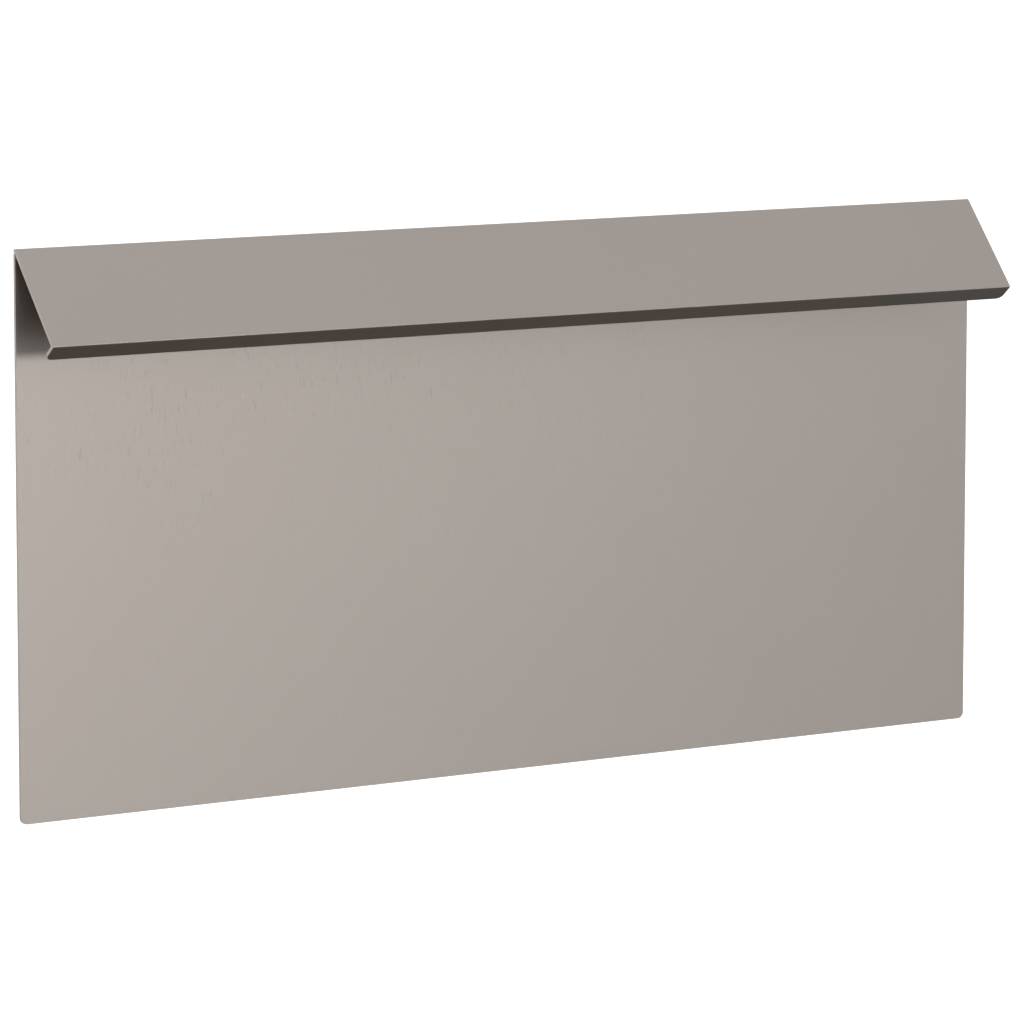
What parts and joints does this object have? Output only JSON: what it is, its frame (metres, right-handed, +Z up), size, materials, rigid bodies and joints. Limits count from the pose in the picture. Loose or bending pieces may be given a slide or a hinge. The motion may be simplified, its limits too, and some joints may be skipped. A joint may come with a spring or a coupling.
{
  "type": "wall mounted mailbox",
  "caption": "Shallow steel wall mailbox: a wide hinged front panel with a sloping letter flap and finger lip across its top, in front of a narrower lockable housing.",
  "frame": {"origin": "on the wall face, in the middle of the four wall holes, at half the front panel's height", "axes": "+X to the viewer's right along the panel, +Y into the wall, +Z up; the front faces -Y"},
  "size_m": [0.5, 0.1194, 0.243],
  "materials": {
    "panel_steel": "vertically brushed stainless steel",
    "flap_steel": "fine brushed stainless steel",
    "housing_steel": "mill finish stainless steel",
    "fitting_steel": "mill finish stainless steel",
    "hinge_steel": "rolled stainless steel",
    "pin_steel": "drawn stainless steel",
    "stud_steel": "drawn stainless steel",
    "nut_steel": "cold formed stainless steel",
    "rivet_aluminium": "satin",
    "seal_rubber": "closed-cell foam",
    "pad_rubber": "moulded",
    "lock_chrome": "plated",
    "lock_nickel": "satin nickel",
    "lock_brass": "turned",
    "cam_zinc": "zinc plated",
    "screw_zinc": "zinc plated"
  },
  "bodies": {
    "housing": {"back_pan": "housing_steel", "housing_shell": "housing_steel", "housing_floor": "housing_steel", "housing_rivets": "rivet_aluminium", "lock_strike": "fitting_steel", "strike_rivets": "rivet_aluminium", "door_hinge_body_leaf": "hinge_steel", "door_hinge_pin": "pin_steel", "door_hinge_rivets": "rivet_aluminium"},
    "door": {"front_panel": "panel_steel", "weld_studs": "stud_steel", "stud_nuts": "nut_steel", "door_seal": "seal_rubber", "mail_baffle": "fitting_steel", "door_hinge_door_leaf": "hinge_steel", "flap_hinge_leaf": "hinge_steel", "flap_hinge_pin": "pin_steel", "flap_rest_left": "fitting_steel", "flap_rest_right": "fitting_steel", "flap_rest_pads": "pad_rubber", "flap_rest_rivets": "rivet_aluminium", "lock_barrel": "lock_chrome", "lock_nut": "lock_brass"},
    "flap": {"letter_flap": "flap_steel"},
    "lock_rotor": {"lock_plug": "lock_nickel", "lock_cam": "cam_zinc", "cam_screw": "screw_zinc"}
  },
  "joints": [
    {"name": "door_hinge", "type": "hinge", "parent": "housing", "child": "door", "pos_m": [-0.2053, -0.0825, 0], "axis": [0, 0, -1], "range_deg": [0, 90]},
    {"name": "flap_hinge", "type": "hinge", "parent": "door", "child": "flap", "pos_m": [0, -0.0825, 0.1179], "axis": [-1, 0, 0], "range_deg": [0, 85]},
    {"name": "lock_turn", "type": "hinge", "parent": "door", "child": "lock_rotor", "pos_m": [0.1825, -0.075, 0.09], "axis": [0, -1, 0], "range_deg": [0, 90]}
  ]
}
